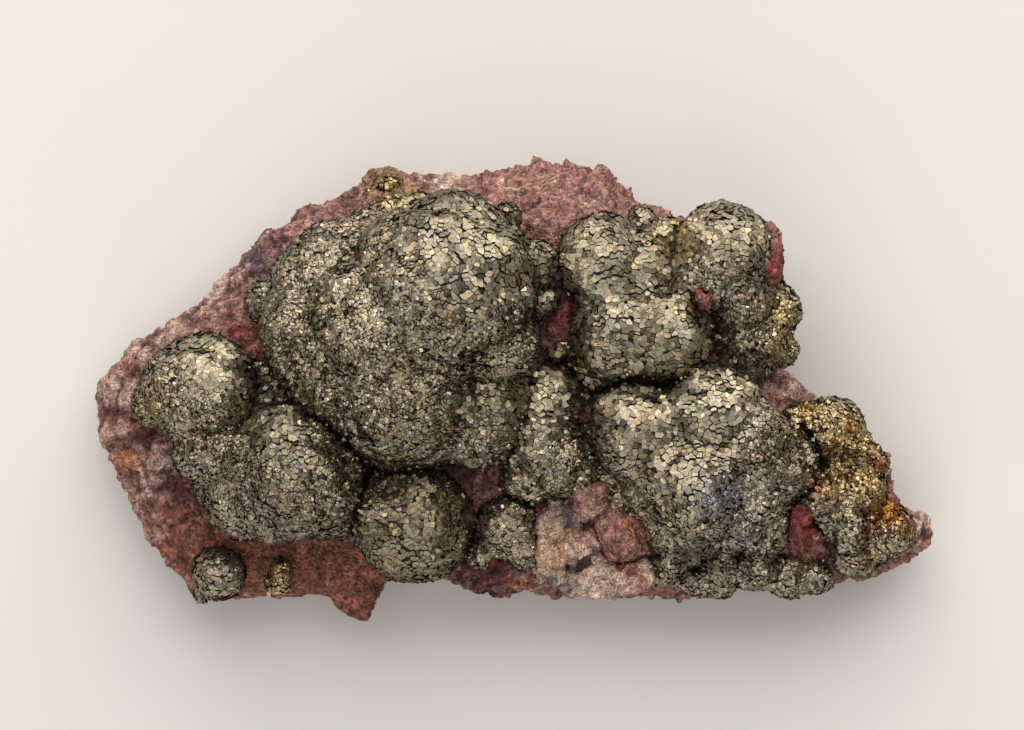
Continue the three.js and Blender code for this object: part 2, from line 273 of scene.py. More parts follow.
def skin_of(node_name, voxel, passes):
    """A CAD node's surface in millimetres, remeshed to even squares and smoothed."""
    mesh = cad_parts[node_name].data.copy()
    scale = 1 / MM
    mesh.transform(((scale, 0, 0, 0), (0, scale, 0, 0), (0, 0, scale, 0), (0, 0, 0, 1)))
    piece = bpy.data.objects.new("skin", mesh)
    bpy.context.scene.collection.objects.link(piece)
    piece.modifiers.new("weld", "WELD").merge_threshold = 0.001
    remesh = piece.modifiers.new("remesh", "REMESH")
    remesh.mode = "VOXEL"
    remesh.voxel_size = voxel
    smooth = piece.modifiers.new("smooth", "SMOOTH")
    smooth.iterations = passes
    return evaluated(piece)


def moved(mesh, offset):
    """The same mesh with each vertex moved along its normal by the offset given for it."""
    points = points_of(mesh) + normals_of(mesh) * offset[:, None]
    mesh.vertices.foreach_set("co", points.astype(np.float32).ravel())
    mesh.update()
    return mesh


# Where crystals stand

# Seeds whose distances to all others are worked out at a time
ROWS_OF_DISTANCES = 400


def scatter_tree(spacing, density, seed):
    """A node tree that tries so many random points to a square unit of the faces, and drops those that are
    nearer to another than the spacing."""
    tree = bpy.data.node_groups.new("scatter", "GeometryNodeTree")
    tree.interface.new_socket("Geometry", in_out="INPUT", socket_type="NodeSocketGeometry")
    tree.interface.new_socket("Geometry", in_out="OUTPUT", socket_type="NodeSocketGeometry")
    start = tree.nodes.new("NodeGroupInput")
    spread = tree.nodes.new("GeometryNodeDistributePointsOnFaces")
    spread.distribute_method = "POISSON"
    spread.inputs["Distance Min"].default_value = spacing
    spread.inputs["Density Max"].default_value = density
    spread.inputs["Seed"].default_value = seed
    store = tree.nodes.new("GeometryNodeStoreNamedAttribute")
    store.data_type = "FLOAT_VECTOR"
    store.inputs["Name"].default_value = "way"
    vertices = tree.nodes.new("GeometryNodePointsToVertices")
    end = tree.nodes.new("NodeGroupOutput")
    tree.links.new(start.outputs[0], spread.inputs["Mesh"])
    tree.links.new(spread.outputs["Points"], store.inputs["Geometry"])
    tree.links.new(spread.outputs["Normal"], store.inputs["Value"])
    tree.links.new(store.outputs["Geometry"], vertices.inputs["Points"])
    tree.links.new(vertices.outputs["Mesh"], end.inputs[0])
    return tree


def scattered(mesh, spacing, density, seed):
    """Points and normals spread over a mesh, at least the spacing apart."""
    piece = bpy.data.objects.new("scatter", mesh.copy())
    bpy.context.scene.collection.objects.link(piece)
    piece.modifiers.new("scatter", "NODES").node_group = scatter_tree(spacing, density, seed)
    made = evaluated(piece)
    way = np.empty(len(made.vertices) * 3, np.float32)
    made.attributes["way"].data.foreach_get("vector", way)
    return points_of(made), way.reshape(-1, 3).astype(float)


def nearest(points, count):
    """Indices of each point's nearest others, found from all distances, a block of rows at a time."""
    squares = (points**2).sum(axis=1)
    rows = []
    for start in range(0, len(points), ROWS_OF_DISTANCES):
        block = points[start : start + ROWS_OF_DISTANCES]
        apart = squares[None] - 2 * block @ points.T
        apart[np.arange(len(block)), start + np.arange(len(block))] = np.inf
        rows.append(np.argpartition(apart, count, axis=1)[:, :count])
    return np.concatenate(rows)


def tangents(normals):
    """Two unit directions across each normal, so that across x along is the normal."""
    helper = np.where(np.abs(normals[:, 2:]) < 0.8, [[0.0, 0.0, 1.0]], [[1.0, 0.0, 0.0]])
    across = np.cross(helper, normals)
    across /= np.linalg.norm(across, axis=1, keepdims=True)
    return across, np.cross(normals, across)


# Crystals

# Nearest seeds whose cells may border on one, and the most corners that a plate keeps
NEIGHBOURS = 12
MOST_CORNERS = 9
# Lines that close a cell, and how many usual spacings away they are
FENCE_SIDES = 6
FENCE_REACH = 0.9
# Seeds and crystals worked on at a time, so that the arrays stay small
ROWS_AT_ONCE = 2000


def shared_chance(own, near):
    """A value from 0 to 1 for each seed and its neighbour, the same for both, hashed from their vectors."""
    mixed = np.sin((own[near] + own[:, None]) @ [127.1, 311.7, 74.7]) * 43758.5
    return mixed - np.floor(mixed)


def gaps(seeds, near, way, block, slab, calm):
    """Width of the gap between each seed and its neighbours.

    A seam inside a block, else a crack between blocks or between slabs, times a chance value that both sides
    share. Cracks are widest where they run along X, and close up in the ragged zones.
    """
    other_block, other_slab = shifted(block, near), shifted(slab, near)
    across = np.where(other_slab, SLAB_CRACK * shared_chance(slab, near) ** 1.5 + 0.03,
                      BLOCK_CRACK * shared_chance(block, near) ** 2)
    lie = 0.35 + 0.85 * way[..., 1] ** 2
    open_share = np.clip(0.75 + 1.2 * noise(seeds, 2.8, 29), 0.25, 1.5) * (0.3 + 0.8 * calm)
    return np.where(other_block | other_slab, SEAM_WIDTH + across * lie * open_share[:, None], SEAM_WIDTH)


def shifted(own, near):
    """Whether a seed's neighbour has another vector, and so belongs to another cell."""
    return np.abs(own[near] - own[:, None]).sum(axis=2) > 1e-6


def cell_corners(seeds, across, along, spacing, block, slab, calm):
    """Corners of each seed's plate in its tangent plane, anticlockwise, and how many there are.

    A plate is the seed's Voronoi cell, less half the gap towards each neighbour. A corner is where two of
    these edges cross, if no third one cuts it off. A fence of six lines closes the cells at a border.
    """
    near = nearest(seeds, NEIGHBOURS)
    offset = seeds[near] - seeds[:, None]
    flat = np.stack([(offset * side[:, None]).sum(axis=2) for side in (across, along)], axis=2)
    length = np.maximum(np.linalg.norm(flat, axis=2), 1e-6)
    gap = gaps(seeds, near, offset / length[..., None], block, slab, calm)
    turn = (np.arange(FENCE_SIDES) + 0.3) * 2 * math.pi / FENCE_SIDES
    fence = np.stack([np.cos(turn), np.sin(turn)], axis=1)
    fences = np.broadcast_to(fence, (len(seeds), *fence.shape))
    toward = np.concatenate([flat / length[..., None], fences], axis=1)
    edge = np.maximum(length / 2 - gap / 2, 0.25 * length)
    reach = np.concatenate([edge, np.repeat(FENCE_REACH * spacing[:, None], FENCE_SIDES, axis=1)], axis=1)
    first, second = np.triu_indices(toward.shape[1], 1)
    corners, counts = [], []
    for rows in np.array_split(np.arange(len(seeds)), len(seeds) // ROWS_AT_ONCE + 1):
        way, far = toward[rows], reach[rows]
        a, b = way[:, first], way[:, second]
        cross = a[..., 0] * b[..., 1] - a[..., 1] * b[..., 0]
        meets = np.abs(cross) > 1e-3
        safe = np.where(meets, cross, 1.0)
        x = (far[:, first] * b[..., 1] - far[:, second] * a[..., 1]) / safe
        y = (far[:, second] * a[..., 0] - far[:, first] * b[..., 0]) / safe
        corner = np.stack([x, y], axis=2)
        inside = meets & (corner @ way.transpose(0, 2, 1) <= far[:, None] + 1e-6).all(axis=2)
        angle = np.where(inside, np.arctan2(y, x), np.inf)
        order = np.argsort(angle, axis=1)[:, :MOST_CORNERS]
        corners.append(np.take_along_axis(corner, order[..., None], axis=1))
        counts.append(np.minimum(inside.sum(axis=1), MOST_CORNERS))
    return np.concatenate(corners), np.concatenate(counts)


def plates(seeds, normals, spacing, calm, rng):
    """Closed crystals, one to a seed, crowded side by side: each is a plate over a root sunk in the skin,
    so that the cracks open downward and hold shade.

    Calm ones have a flat top, ragged ones a low peak. A plate's slope and its height are each the sum of its
    slab's, its block's and its own.
    Gives the points, the faces, each point's seed, and 1 for the roots.
    """
    across, along = tangents(normals)
    loose = seeds * BLOCK_LIE + 0.1 * rng.normal(size=seeds.shape)
    block, slab = cells(loose, BLOCK_SIZE, 7)[3], cells(loose, SLAB_SIZE, 17)[3]
    corners, counts = cell_corners(seeds, across, along, spacing, block, slab, calm)
    ragged = 1 - calm
    way = BLOCK_TILT * block + SLAB_TILT * slab
    slope = np.stack([(way * side).sum(axis=1) for side in (across, along)], axis=1)
    awry = np.where(rng.random(len(seeds)) < AWRY_SHARE, AWRY_TILT, 1)
    tilt = (CALM_TILT + (RAGGED_TILT - CALM_TILT) * ragged) * awry
    slope += rng.normal(size=(len(seeds), 2)) * np.minimum(tilt, MOST_TILT)[:, None]
    rise = PLATE_RISE * (rng.random(len(seeds)) + 0.7 * block[:, 0] + 0.7 * slab[:, 0])
    peak = np.where(calm < PEAKED_BELOW, PEAK_HEIGHT * (0.3 + rng.random(len(seeds))), 0.0) * spacing
    points, faces, owners, roots = [], [], [], []
    start = 0
    for sides, peaked in np.ndindex(MOST_CORNERS + 1, 2):
        rows = np.flatnonzero((counts == sides) & ((peak > 0) == peaked))
        if sides < 3 or not len(rows):
            continue
        outline = corners[rows, :sides]
        middle = outline.mean(axis=1, keepdims=True)
        width = np.linalg.norm(outline - middle, axis=2).mean(axis=1)
        summit = middle + rng.normal(size=middle.shape) * 0.22 * width[:, None, None]
        flat = np.concatenate([outline, middle] + [summit] * peaked, axis=1)
        height = rise[rows, None] + (flat * slope[rows, None]).sum(axis=2)
        height[:, sides] = -ROOT_DEPTH
        if peaked:
            height[:, sides + 1] += peak[rows]
        place = (
            seeds[rows, None]
            + flat[..., :1] * across[rows, None]
            + flat[..., 1:] * along[rows, None]
            + height[..., None] * normals[rows, None]
        )
        each = flat.shape[1]
        base = start + np.arange(len(rows))[:, None] * each
        ring = np.arange(sides)
        ahead = (ring + 1) % sides
        sheets = [np.stack([ahead, ring, np.full(sides, sides)], axis=1)]
        if peaked:
            sheets.append(np.stack([ring, ahead, np.full(sides, sides + 1)], axis=1))
        else:
            faces.append(base + ring)
        faces += [(base[:, :, None] + sheet[None]).reshape(-1, 3) for sheet in sheets]
        points.append(place.reshape(-1, 3))
        owners.append(np.repeat(rows, each))
        roots.append(np.tile(np.arange(each) == sides, len(rows)).astype(float))
        start += len(rows) * each
    return np.concatenate(points), faces, np.concatenate(owners), np.concatenate(roots)


CUBE = CORNERS - 0.5
CUBE_FACES = np.array([[0, 1, 3, 2], [4, 6, 7, 5], [0, 4, 5, 1], [2, 3, 7, 6], [0, 2, 6, 4], [1, 5, 7, 3]])


def cubes(seeds, normals, edge, rng):
    """Blocky crystals turned every way, each a cube squeezed or stretched a little along its sides, with its
    middle from a tenth of an edge under its foot to four tenths above."""
    count = len(seeds)
    quaternion = rng.normal(size=(count, 4))
    w, x, y, z = (quaternion / np.linalg.norm(quaternion, axis=1, keepdims=True)).T
    turn = np.stack([
        np.stack([1 - 2 * (y * y + z * z), 2 * (x * y - z * w), 2 * (x * z + y * w)], axis=1),
        np.stack([2 * (x * y + z * w), 1 - 2 * (x * x + z * z), 2 * (y * z - x * w)], axis=1),
        np.stack([2 * (x * z - y * w), 2 * (y * z + x * w), 1 - 2 * (x * x + y * y)], axis=1),
    ], axis=1)
    size = edge[:, None] * (0.65 + 0.5 * rng.random((count, 3)))
    raised = (rng.random(count) * 0.5 - 0.1) * edge
    local = CUBE[None] * size[:, None]
    place = np.einsum("nij,nkj->nki", turn, local) + (seeds + normals * raised[:, None])[:, None]
    faces = (np.arange(count)[:, None, None] * 8 + CUBE_FACES[None]).reshape(-1, 4)
    return place.reshape(-1, 3), faces, np.repeat(np.arange(count), 8)


# Zones of the pyrite, seen from above, in millimetres: (x, y, reach, strength)

# Broad calm plates
CALM_ZONES = [
    (-1.8, 18.4, 6.5, 1.0), (-9.6, 20.6, 4.0, 0.7), (-5.0, 13.6, 5.0, 0.8), (-35.8, 3.4, 4.6, 1.0),
    (-29.0, -4.4, 5.4, 1.0), (10.2, 17.4, 5.4, 1.2), (15.4, 9.4, 6.6, 1.0), (27.4, 19.6, 4.6, 0.9),
    (15.0, -1.2, 4.6, 0.9), (22.4, -0.6, 6.0, 1.1), (19.6, -6.0, 5.0, 0.7), (3.6, 0.6, 3.4, 0.9),
    (4.4, -4.6, 2.8, 0.6), (-5.0, -1.6, 3.0, 0.6), (-12.6, -14.6, 5.0, 0.4),
]
# Grains turned every way, which glitter
RAGGED_ZONES = [
    (-24.0, 4.0, 6.0, 1.0), (-19.0, -1.0, 5.0, 1.0), (-40.6, -2.0, 4.0, 1.0), (-33.0, -8.6, 4.6, 1.0),
    (-24.4, 11.0, 4.0, 0.6), (7.0, -8.0, 3.4, 0.8), (26.0, 12.4, 4.0, 0.8), (15.0, 3.0, 4.0, 0.7),
    (26.0, -16.6, 4.4, 0.8), (29.6, 6.6, 4.0, 0.8), (-10.4, -3.8, 4.4, 0.5), (-1.0, 8.0, 4.0, 0.6),
    (-6.4, 3.6, 4.4, 0.5), (-24.0, -13.4, 4.6, 0.7), (-36.4, -3.0, 3.4, 0.6), (31.6, -7.4, 3.6, 0.9),
    (40.0, -11.0, 6.4, 0.7), (36.4, -3.0, 3.6, 0.7), (44.6, -18.0, 3.4, 0.5),
]
# Colours: pale, grey, yellow and dull zones of the metal, and painted shade on lumps and in hollows
TINT_ZONES = [
    (PALE, [(-2.6, 16.8, 5.0, 1.0), (-13.6, 9.2, 3.0, 0.8), (-21.2, -10.0, 2.2, 0.6),
            (25.6, -0.6, 3.4, 0.8), (-35.4, 3.6, 3.6, 0.9), (-28.6, -4.0, 4.2, 0.8),
            (14.6, 10.6, 5.4, 1.0), (8.0, 15.8, 3.6, 0.8), (27.4, 20.2, 3.6, 0.8),
            (21.4, 1.4, 5.0, 1.0), (14.6, 0.4, 3.4, 0.8), (4.2, -1.4, 2.6, 0.8),
            (-20.6, 12.0, 3.0, 0.7), (30.4, -13.4, 2.2, 1.4), (-15.0, 7.6, 3.0, 0.6)]),
    (STEEL, [(24.6, -12.4, 2.6, 1.0), (28.4, -17.6, 1.8, 0.5)]),
    # Painted shade on lumps that this light leaves lit
    (SHADED, [(2.4, 9.2, 2.2, 0.8), (-24.2, 9.8, 3.6, 0.4), (-13.0, -1.0, 4.0, 0.5),
              (-8.8, 23.0, 2.6, 0.4), (-28.0, -14.2, 4.0, 0.45), (-27.0, -8.0, 3.0, 0.35),
              (-12.2, -11.8, 3.6, 0.9), (15.2, 7.2, 3.4, 0.6), (26.6, 15.6, 3.4, 0.4),
              (30.2, 6.8, 2.6, 0.35), (24.2, -15.4, 2.6, 0.35), (24.8, -21.4, 4.0, 0.35),
              (4.4, -9.4, 2.6, 0.4), (14.6, -5.4, 3.0, 0.3), (4.4, 4.4, 1.6, 0.8)]),
    (WARM_GREY, [(-5.6, -5.4, 4.4, 0.8), (-3.0, -0.6, 3.0, 0.6), (11.6, 18.6, 3.0, 0.6),
                 (31.6, -7.4, 4.2, 1.0), (-22.6, -11.6, 4.0, 0.7), (-37.4, -1.6, 3.0, 0.4),
                 (-15.8, 5.0, 2.6, 0.5)]),
    (GOLD, [(19.4, 18.8, 2.8, 0.8), (31.6, 9.4, 2.2, 1.0), (32.2, 5.4, 1.8, 0.9), (7.0, 3.6, 2.4, 0.6),
            (-43.0, -1.6, 2.4, 0.7), (34.6, -1.4, 3.0, 0.8), (40.4, -5.6, 3.6, 0.8),
            (41.0, -8.4, 2.6, 1.0), (44.0, -11.6, 3.0, 0.8), (37.6, -11.6, 2.0, 0.6),
            (-28.0, -22.0, 2.6, 0.9), (-15.0, 24.6, 3.4, 1.0)]),
    (STAIN, [(45.2, -14.2, 2.2, 1.3), (40.4, -4.2, 1.0, 0.9), (43.0, -20.4, 1.4, 0.6),
             (35.4, -1.8, 1.2, 0.5), (48.0, -16.6, 1.4, 0.6)]),
    (RED_STAIN, [(43.8, -8.8, 1.0, 1.1), (36.2, -11.2, 1.3, 0.9), (42.5, -16.4, 0.8, 0.8)]),
    # Painted shade in the hollows between lumps
    (PAINTED_HOLLOW_SHADE, [(24.9, 9.2, 1.5, 1.1), (20.4, -19.4, 1.3, 1.0), (23.2, -20.4, 1.3, 0.9),
              (27.2, -20.0, 1.2, 0.9), (31.4, -19.6, 1.2, 0.8), (7.4, 2.6, 2.0, 0.7)]),
    (OLIVE, [(-0.4, 20.8, 1.7, 1.5), (2.4, 14.8, 2.0, 0.7), (-8.0, 3.0, 7.0, 0.7),
             (-24.6, 0.0, 6.0, 0.5), (-12.0, -16.0, 9.0, 0.8), (18.0, 3.6, 4.0, 0.8),
             (28.0, 12.0, 5.0, 0.6), (-33.0, -7.0, 5.0, 0.5), (10.0, -8.0, 4.0, 0.5)]),
]


def zone_weight(points, zones):
    """Sum of each zone's strength times exp(-(distance from its middle / its reach)^2), seen from above."""
    total = np.zeros(len(points))
    for x, y, reach, strength in zones:
        square = (points[:, 0] - x) ** 2 + (points[:, 1] - y) ** 2
        total += strength * np.exp(-square / reach**2)
    return total


def calmness(points):
    """From 0, small ragged crystals, to 1, broad even plates: a half, plus 0.6 times the weight of the calm
    zones, less 0.55 times that of the ragged ones, and noise."""
    drift = 0.22 * layered_noise(points, 4.0, 11)
    value = 0.5 + 0.6 * zone_weight(points, CALM_ZONES) - 0.55 * zone_weight(points, RAGGED_ZONES) + drift
    return np.clip(value, 0, 1)


def metal_colour(points, normals, rng, base, spread):
    """The base colour drawn towards each zone's colour by its weight, darkened on steep flanks as painted
    shade, and varied from crystal to crystal in brightness, by e^(spread * a normal draw), and a little in
    warmth."""
    colour = np.tile(base, (len(points), 1))
    wander = 1 + 0.5 * layered_noise(points, 3.0, 23)
    for tint, zones in TINT_ZONES:
        share = np.clip(zone_weight(points, zones) * wander, 0, 1)[:, None]
        colour = colour + (tint - colour) * 0.85 * share
    # Painted shade: full colour where the normal points up by 0.6 or more, darker as it turns away, down to
    # a quarter
    painted_flank_shade = np.clip((normals[:, 2:] + 0.1) / 0.7, 0.25, 1)
    spreads = np.broadcast_to(spread, len(points))
    brightness = np.exp(spreads * rng.normal(size=len(points))).clip(0.35, 1.8)
    warmth = 1 + rng.normal(size=(len(points), 1)) * [0.035, 0.0, -0.07]
    return colour * painted_flank_shade * brightness[:, None] * warmth


# Camera, made first

def make_camera():
    """Looks straight down on the specimen with a long lens, the photograph's top edge towards +Y."""
    data = bpy.data.cameras.new("camera")
    data.sensor_fit = "HORIZONTAL"
    data.sensor_width = 36.0
    data.lens = 36.0 * CAMERA_DISTANCE / (FRAME_WIDTH * PIXEL_MM)
    data.clip_start = 0.05
    data.clip_end = 10.0
    camera = bpy.data.objects.new("camera", data)
    camera.location = (VIEW_MIDDLE[0] * MM, VIEW_MIDDLE[1] * MM, (VIEW_HEIGHT + CAMERA_DISTANCE) * MM)
    bpy.context.scene.collection.objects.link(camera)
    bpy.context.scene.camera = camera


make_camera()


# Materials

def node(material, kind, settings=None, values=None, links=None):
    """Adds one node with its settings and input values, and links outputs of others to its inputs."""
    tree = material.node_tree
    made = tree.nodes.new(kind)
    for name, value in (settings or {}).items():
        setattr(made, name, value)
    for name, value in (values or {}).items():
        made.inputs[name].default_value = value
    for name, source in (links or {}).items():
        tree.links.new(source, made.inputs[name])
    return made


def new_material(name):
    material = bpy.data.materials.new(name)
    material.use_nodes = True
    return material, material.node_tree.nodes["Principled BSDF"]


def rgba(colour):
    return (*(float(c) for c in colour), 1.0)


# Size of the mottling on the faces, and the painted shade deep in the cracks and on the sunk skin
MOTTLE_MM = 0.3
PAINTED_CRACK_SHADE = linear("#241a0d")


def pyrite_material():
    """Pyrite, an iron sulphide with a metallic lustre, as grown: pale brass faces, mottled and a bit rough,
    so that each plate shines as a soft patch, and cracks between the plates that painted shade turns dark
    and not metallic deep down."""
    material, shader = new_material("pyrite")
    tree = material.node_tree
    colour = node(material, "ShaderNodeAttribute", {"attribute_name": "metal_colour"})
    crack = node(material, "ShaderNodeAttribute", {"attribute_name": "crack"})
    place = node(material, "ShaderNodeTexCoord")
    mottle = node(material, "ShaderNodeTexNoise",
                  values={"Scale": 1 / (MOTTLE_MM * MM), "Detail": 3.0, "Roughness": 0.7},
                  links={"Vector": place.outputs["Object"]})
    dulled = node(material, "ShaderNodeMix", {"data_type": "RGBA", "blend_type": "MULTIPLY"},
                  {"Factor": 1.0}, {6: colour.outputs["Color"]})
    shade = node(material, "ShaderNodeMapRange",
                 values={"From Min": 0.36, "From Max": 0.64, "To Min": 0.72, "To Max": 1.25},
                 links={"Value": mottle.outputs["Fac"]})
    grey = node(material, "ShaderNodeCombineColor", links={i: shade.outputs[0] for i in (0, 1, 2)})
    tree.links.new(grey.outputs[0], dulled.inputs[7])
    # Painted shade: towards the roots of the crystals and on the sunk skin, the colour turns to the crack
    # shade and the metal goes
    depth = node(material, "ShaderNodeMapRange", values={"From Min": 0.2, "From Max": 0.75},
                 links={"Value": crack.outputs["Fac"]})
    painted_crack_shading = node(material, "ShaderNodeMix", {"data_type": "RGBA"}, {7: rgba(PAINTED_CRACK_SHADE)},
                 {0: depth.outputs[0], 6: dulled.outputs[2]})
    tree.links.new(painted_crack_shading.outputs[2], shader.inputs["Base Color"])
    metal = node(material, "ShaderNodeMapRange",
                 values={"From Min": 0.4, "From Max": 0.9, "To Min": 1.0, "To Max": 0.0},
                 links={"Value": crack.outputs["Fac"]})
    tree.links.new(metal.outputs[0], shader.inputs["Metallic"])
    polish = node(material, "ShaderNodeAttribute", {"attribute_name": "polish"})
    rough = node(material, "ShaderNodeMapRange", values={"To Min": 0.5, "To Max": 0.2},
                 links={"Value": polish.outputs["Fac"]})
    tree.links.new(rough.outputs[0], shader.inputs["Roughness"])
    bump = node(material, "ShaderNodeBump", values={"Strength": 0.5, "Distance": 0.1 * MM},
                links={"Height": mottle.outputs["Fac"]})
    tree.links.new(bump.outputs[0], shader.inputs["Normal"])
    return material


def rock_material(name, grain_mm, roughness):
    """Weathered rock or vein mineral, broken rough: matte and grainy, each grain lighter or darker."""
    material, shader = new_material(name)
    tree = material.node_tree
    colour = node(material, "ShaderNodeAttribute", {"attribute_name": "rock_colour"})
    place = node(material, "ShaderNodeTexCoord")
    grain = grain_mm * MM
    speck = node(material, "ShaderNodeTexVoronoi", values={"Scale": 1 / grain, "Randomness": 1.0},
                 links={"Vector": place.outputs["Object"]})
    dust = node(material, "ShaderNodeTexNoise",
                values={"Scale": 1 / (3 * grain), "Detail": 5.0, "Roughness": 0.7},
                links={"Vector": place.outputs["Object"]})
    tone = node(material, "ShaderNodeSeparateColor", links={"Color": speck.outputs["Color"]})
    shade = node(material, "ShaderNodeMapRange", values={"To Min": 0.45, "To Max": 1.6},
                 links={"Value": tone.outputs["Red"]})
    cloud = node(material, "ShaderNodeMapRange",
                 values={"From Min": 0.3, "From Max": 0.7, "To Min": 0.65, "To Max": 1.3},
                 links={"Value": dust.outputs["Fac"]})
    both = node(material, "ShaderNodeMath", {"operation": "MULTIPLY"},
                links={0: shade.outputs[0], 1: cloud.outputs[0]})
    grey = node(material, "ShaderNodeCombineColor", links={i: both.outputs[0] for i in (0, 1, 2)})
    mixed = node(material, "ShaderNodeMix", {"data_type": "RGBA", "blend_type": "MULTIPLY"}, {"Factor": 1.0},
                 {6: colour.outputs["Color"], 7: grey.outputs[0]})
    tree.links.new(mixed.outputs[2], shader.inputs["Base Color"])
    shader.inputs["Roughness"].default_value = roughness
    shader.inputs["Specular IOR Level"].default_value = 0.35
    bump = node(material, "ShaderNodeBump", values={"Strength": 1.0, "Distance": 0.12 * MM},
                links={"Height": dust.outputs["Fac"]})
    grit = node(material, "ShaderNodeBump", {"invert": True}, {"Strength": 1.0, "Distance": grain / 1.4},
                {"Height": speck.outputs["Distance"], "Normal": bump.outputs[0]})
    tree.links.new(grit.outputs[0], shader.inputs["Normal"])
    return material


PYRITE = pyrite_material()
ROCK = rock_material("rhyolite", 0.32, 0.85)
VEIN = rock_material("calcite_vein", 0.22, 0.55)


def dress(piece, material, slot, *nodes):
    """Gives a finished piece its material and its body, and hides the CAD nodes that it stands for. The slot
    is not used.
    """
    piece.data.materials.append(material)
    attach(piece, "root")
    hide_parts(*nodes)


# Pyrite bodies

def pyrite_skin(node_name, lumps):
    """The body's skin with rounded lumps of three sizes that meet in creases. The body's own share of their
    height goes into all three, and the two larger ones are lower in calm zones."""
    mesh = skin_of(node_name, PYRITE_VOXEL, PYRITE_PASSES)
    points = points_of(mesh)
    rugged = 1.15 - 0.75 * calmness(points)
    large, middle, small = (height * bulges(points, size, seed) for size, height, seed in LUMPS)
    return moved(mesh, SKIN_OUT + lumps * (rugged * (large + middle) + small))


# Share of the lumps' height that each body has
PYRITE_LUMPS = {
    "pyrite_main_cluster": 1.0,
    "pyrite_left_cluster": 0.9,
    "pyrite_upper_right_cluster": 0.9,
    "pyrite_lower_right_cluster": 1.0,
    "pyrite_round_ball": 0.35,
    "pyrite_middle_cluster": 0.6,
    "pyrite_small_ball": 0.4,
    "pyrite_small_twin": 0.4,
    "pyrite_top_patch": 0.4,
    "pyrite_right_end_crystals": 0.8,
}
SKINS = {name: pyrite_skin(name, lumps) for name, lumps in PYRITE_LUMPS.items()}
SKINS["rock_matrix"] = skin_of("rock_matrix", ROCK_VOXEL, ROCK_PASSES)
SKINS["pale_vein"] = skin_of("pale_vein", VEIN_VOXEL, VEIN_PASSES)


def skins_beside(node_name):
    """The skin points of all other bodies."""
    return np.concatenate([points_of(mesh) for name, mesh in SKINS.items() if name != node_name])


def cube_codes(points, size, step=(0, 0, 0)):
    """A whole number for the cube of this size that each point is in, or for one some steps from it."""
    return (np.floor(points / size).astype(np.int64) + step) @ [1, 4096, 16777216]


def hidden(node_name, points, normals):
    """Whether another body's skin passes right above a point."""
    above = cube_codes(points + HIDING_HEIGHT * normals, HIDING_CUBE)
    return np.isin(above, cube_codes(skins_beside(node_name), HIDING_CUBE))


def hemmed(node_name, points):
    """Whether another body's skin is about a millimetre away."""
    others = np.unique(cube_codes(skins_beside(node_name), HEMMED_CUBE))
    return np.any([np.isin(cube_codes(points, HEMMED_CUBE, step), others) for step in AROUND], axis=0)


def plated(name, node_name, seed, slot="pyrite", proud=0.03, proud_edge=(0.2, 0.4)):
    """One body of pyrite: its skin, painted dark as shade, the crystals that cover it, a share of blocky
    ones that stand proud, and a rubble of blocky ones in the creases towards its neighbours."""
    rng = np.random.default_rng(seed)
    mesh = SKINS[node_name]
    skin_points, skin_faces = points_of(mesh), quads_of(mesh)
    seeds, ways, sizes = [], [], []
    for level, (spacing, density) in enumerate(CRYSTAL_SIZES):
        at, way = scattered(mesh, spacing, density, seed + level)
        grade = calmness(at) + GRADE_DRIFT * noise(at, GRADE_PATCH, 37)
        wanted = np.clip((grade * len(CRYSTAL_SIZES)).astype(int), 0, len(CRYSTAL_SIZES) - 1) == level
        wanted &= (way[:, 2] > UNDERSIDE) & ~hidden(node_name, at, way)
        seeds.append(at[wanted])
        ways.append(way[wanted])
        sizes.append(np.full(wanted.sum(), USUAL_SPACING * spacing))
    seeds, ways, sizes = (np.concatenate(part) for part in (seeds, ways, sizes))
    calm = calmness(seeds)
    points, faces, owners, roots = plates(seeds, ways, sizes, calm, rng)
    colour = metal_colour(seeds, ways, rng, BRASS, CALM_SPREAD + RAGGED_SPREAD * (1 - calm))[owners]
    polish = rng.random(len(seeds)) ** (2 + 6 * calm)

    in_crease = hemmed(node_name, seeds + HEMMED_HEIGHT * ways)
    draw = rng.random(len(seeds))
    picked = np.flatnonzero((draw < proud * (1.2 - calm)) | (in_crease & (draw < CREASE_SHARE)))
    low, high = proud_edge
    edge = low + (high - low) * rng.random(len(picked)) ** 2 + CREASE_GROWTH * in_crease[picked]
    lift = (LEAST_LIFT + CREASE_LIFT * in_crease[picked] * rng.random(len(picked)))[:, None]
    feet, out = seeds[picked], ways[picked]
    cube_points, cube_faces, cube_owners = cubes(feet + lift * out, out, edge, rng)
    cube_colour = metal_colour(feet, out, rng, BRASS, BLOCKY_SPREAD)[cube_owners]

    sunk = skin_points - normals_of(mesh) * SKIN_SUNK
    skin_colour = metal_colour(skin_points, normals_of(mesh), rng, BRASS, SKIN_SPREAD)
    all_points = np.concatenate([sunk, points, cube_points])
    shift, cube_shift = len(sunk), len(sunk) + len(points)
    all_faces = [skin_faces, *(f + shift for f in faces), cube_faces + cube_shift]
    smooth = np.zeros(sum(len(f) for f in all_faces), bool)
    smooth[: len(skin_faces)] = True
    marks = {
        "metal_colour": np.concatenate([skin_colour, colour, cube_colour]),
        # crack is 1 on the sunk skin and at the roots, where the material paints shade
        "crack": np.concatenate([np.ones(len(sunk)), roots, np.zeros(len(cube_points))]),
        "polish": np.concatenate([np.zeros(len(sunk)), polish[owners],
                                  rng.random(len(picked))[cube_owners]]),
    }
    piece = write_mesh(name, all_points, all_faces, smooth, marks)
    dress(piece, PYRITE, slot, node_name)


